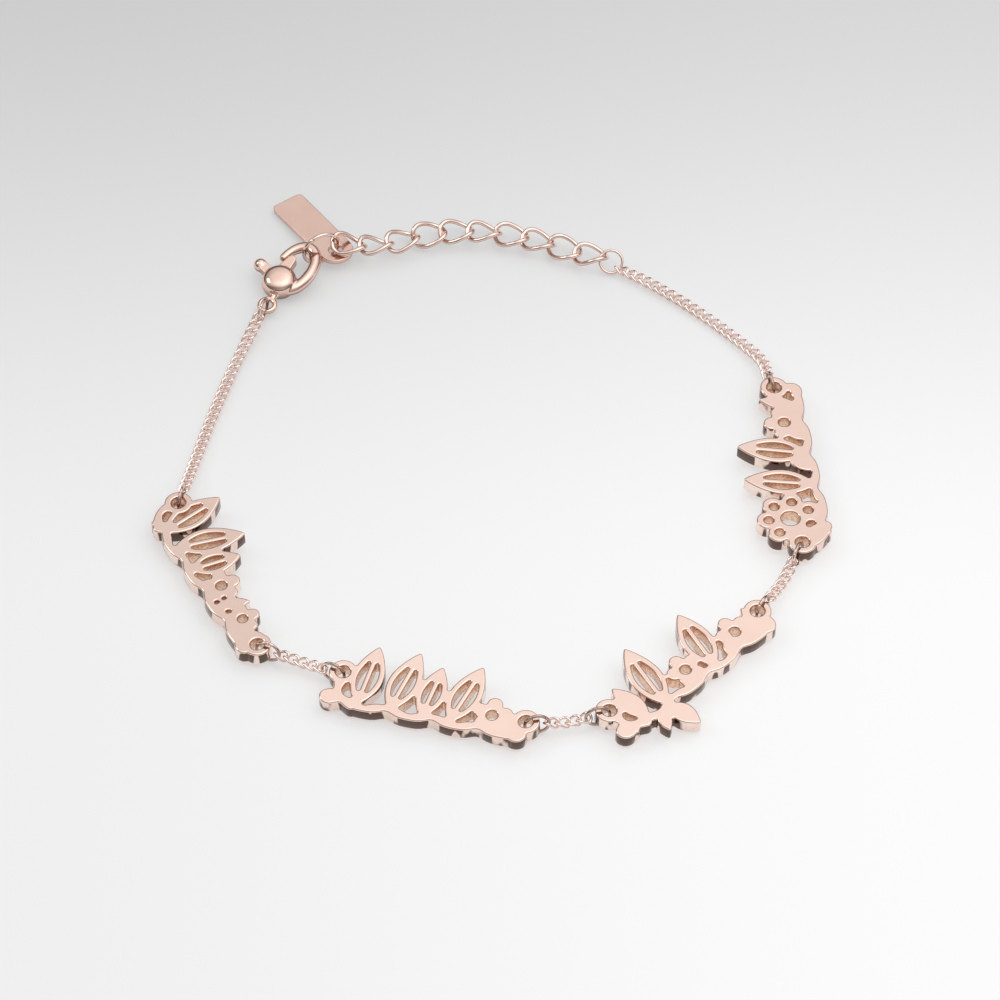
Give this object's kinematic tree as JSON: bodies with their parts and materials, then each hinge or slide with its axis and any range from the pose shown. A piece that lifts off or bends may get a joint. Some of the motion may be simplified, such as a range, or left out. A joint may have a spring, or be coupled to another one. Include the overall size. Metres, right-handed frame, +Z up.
{
  "type": "nameplate bracelet",
  "caption": "Fine chain bracelet with cut-out leaf and flower plates, a curb link extender, a lobster clasp and a small bare tag, lying in an open loop.",
  "frame": {"origin": "middle of the whole bracelet's box, on the surface it lies on", "axes": "+Z up from the surface, +Y from the plates at the front towards the extender at the back, +X towards the right plate"},
  "size_m": [0.0648, 0.0708, 0.004],
  "materials": {
    "plates": "polished rose gold plate",
    "links": "polished rose gold plate",
    "clasp": "polished rose gold plate",
    "tag": "satin rose gold plate"
  },
  "bodies": {
    "bracelet": {"plate_left": "plates", "plate_front_left": "plates", "plate_front_right": "plates", "plate_right": "plates", "ring_1": "links", "ring_2": "links", "ring_3": "links", "ring_4": "links", "ring_5": "links", "ring_6": "links", "ring_7": "links", "ring_8": "links", "chain_left": "links", "chain_front_left": "links", "chain_front": "links", "chain_front_right": "links", "chain_right": "links", "clasp_body": "clasp", "clasp_ring": "links", "extender_ring": "links", "extender_link_1": "links", "extender_link_2": "links", "extender_link_3": "links", "extender_link_4": "links", "extender_link_5": "links", "extender_link_6": "links", "extender_link_7": "links", "extender_link_8": "links", "extender_link_9": "links", "extender_link_10": "links", "tag_ring": "links", "tag": "tag"},
    "lever": {"clasp_lever": "clasp"}
  },
  "joints": [
    {"name": "lever_hinge", "type": "hinge", "parent": "bracelet", "child": "lever", "pos_m": [-0.02113, 0.02369, 0.00125], "axis": [0.0637, 0.1039, -0.9925], "range_deg": [0, 18], "stiffness_Nm_per_rad": 0.0008, "springref_deg": -8.59}
  ]
}
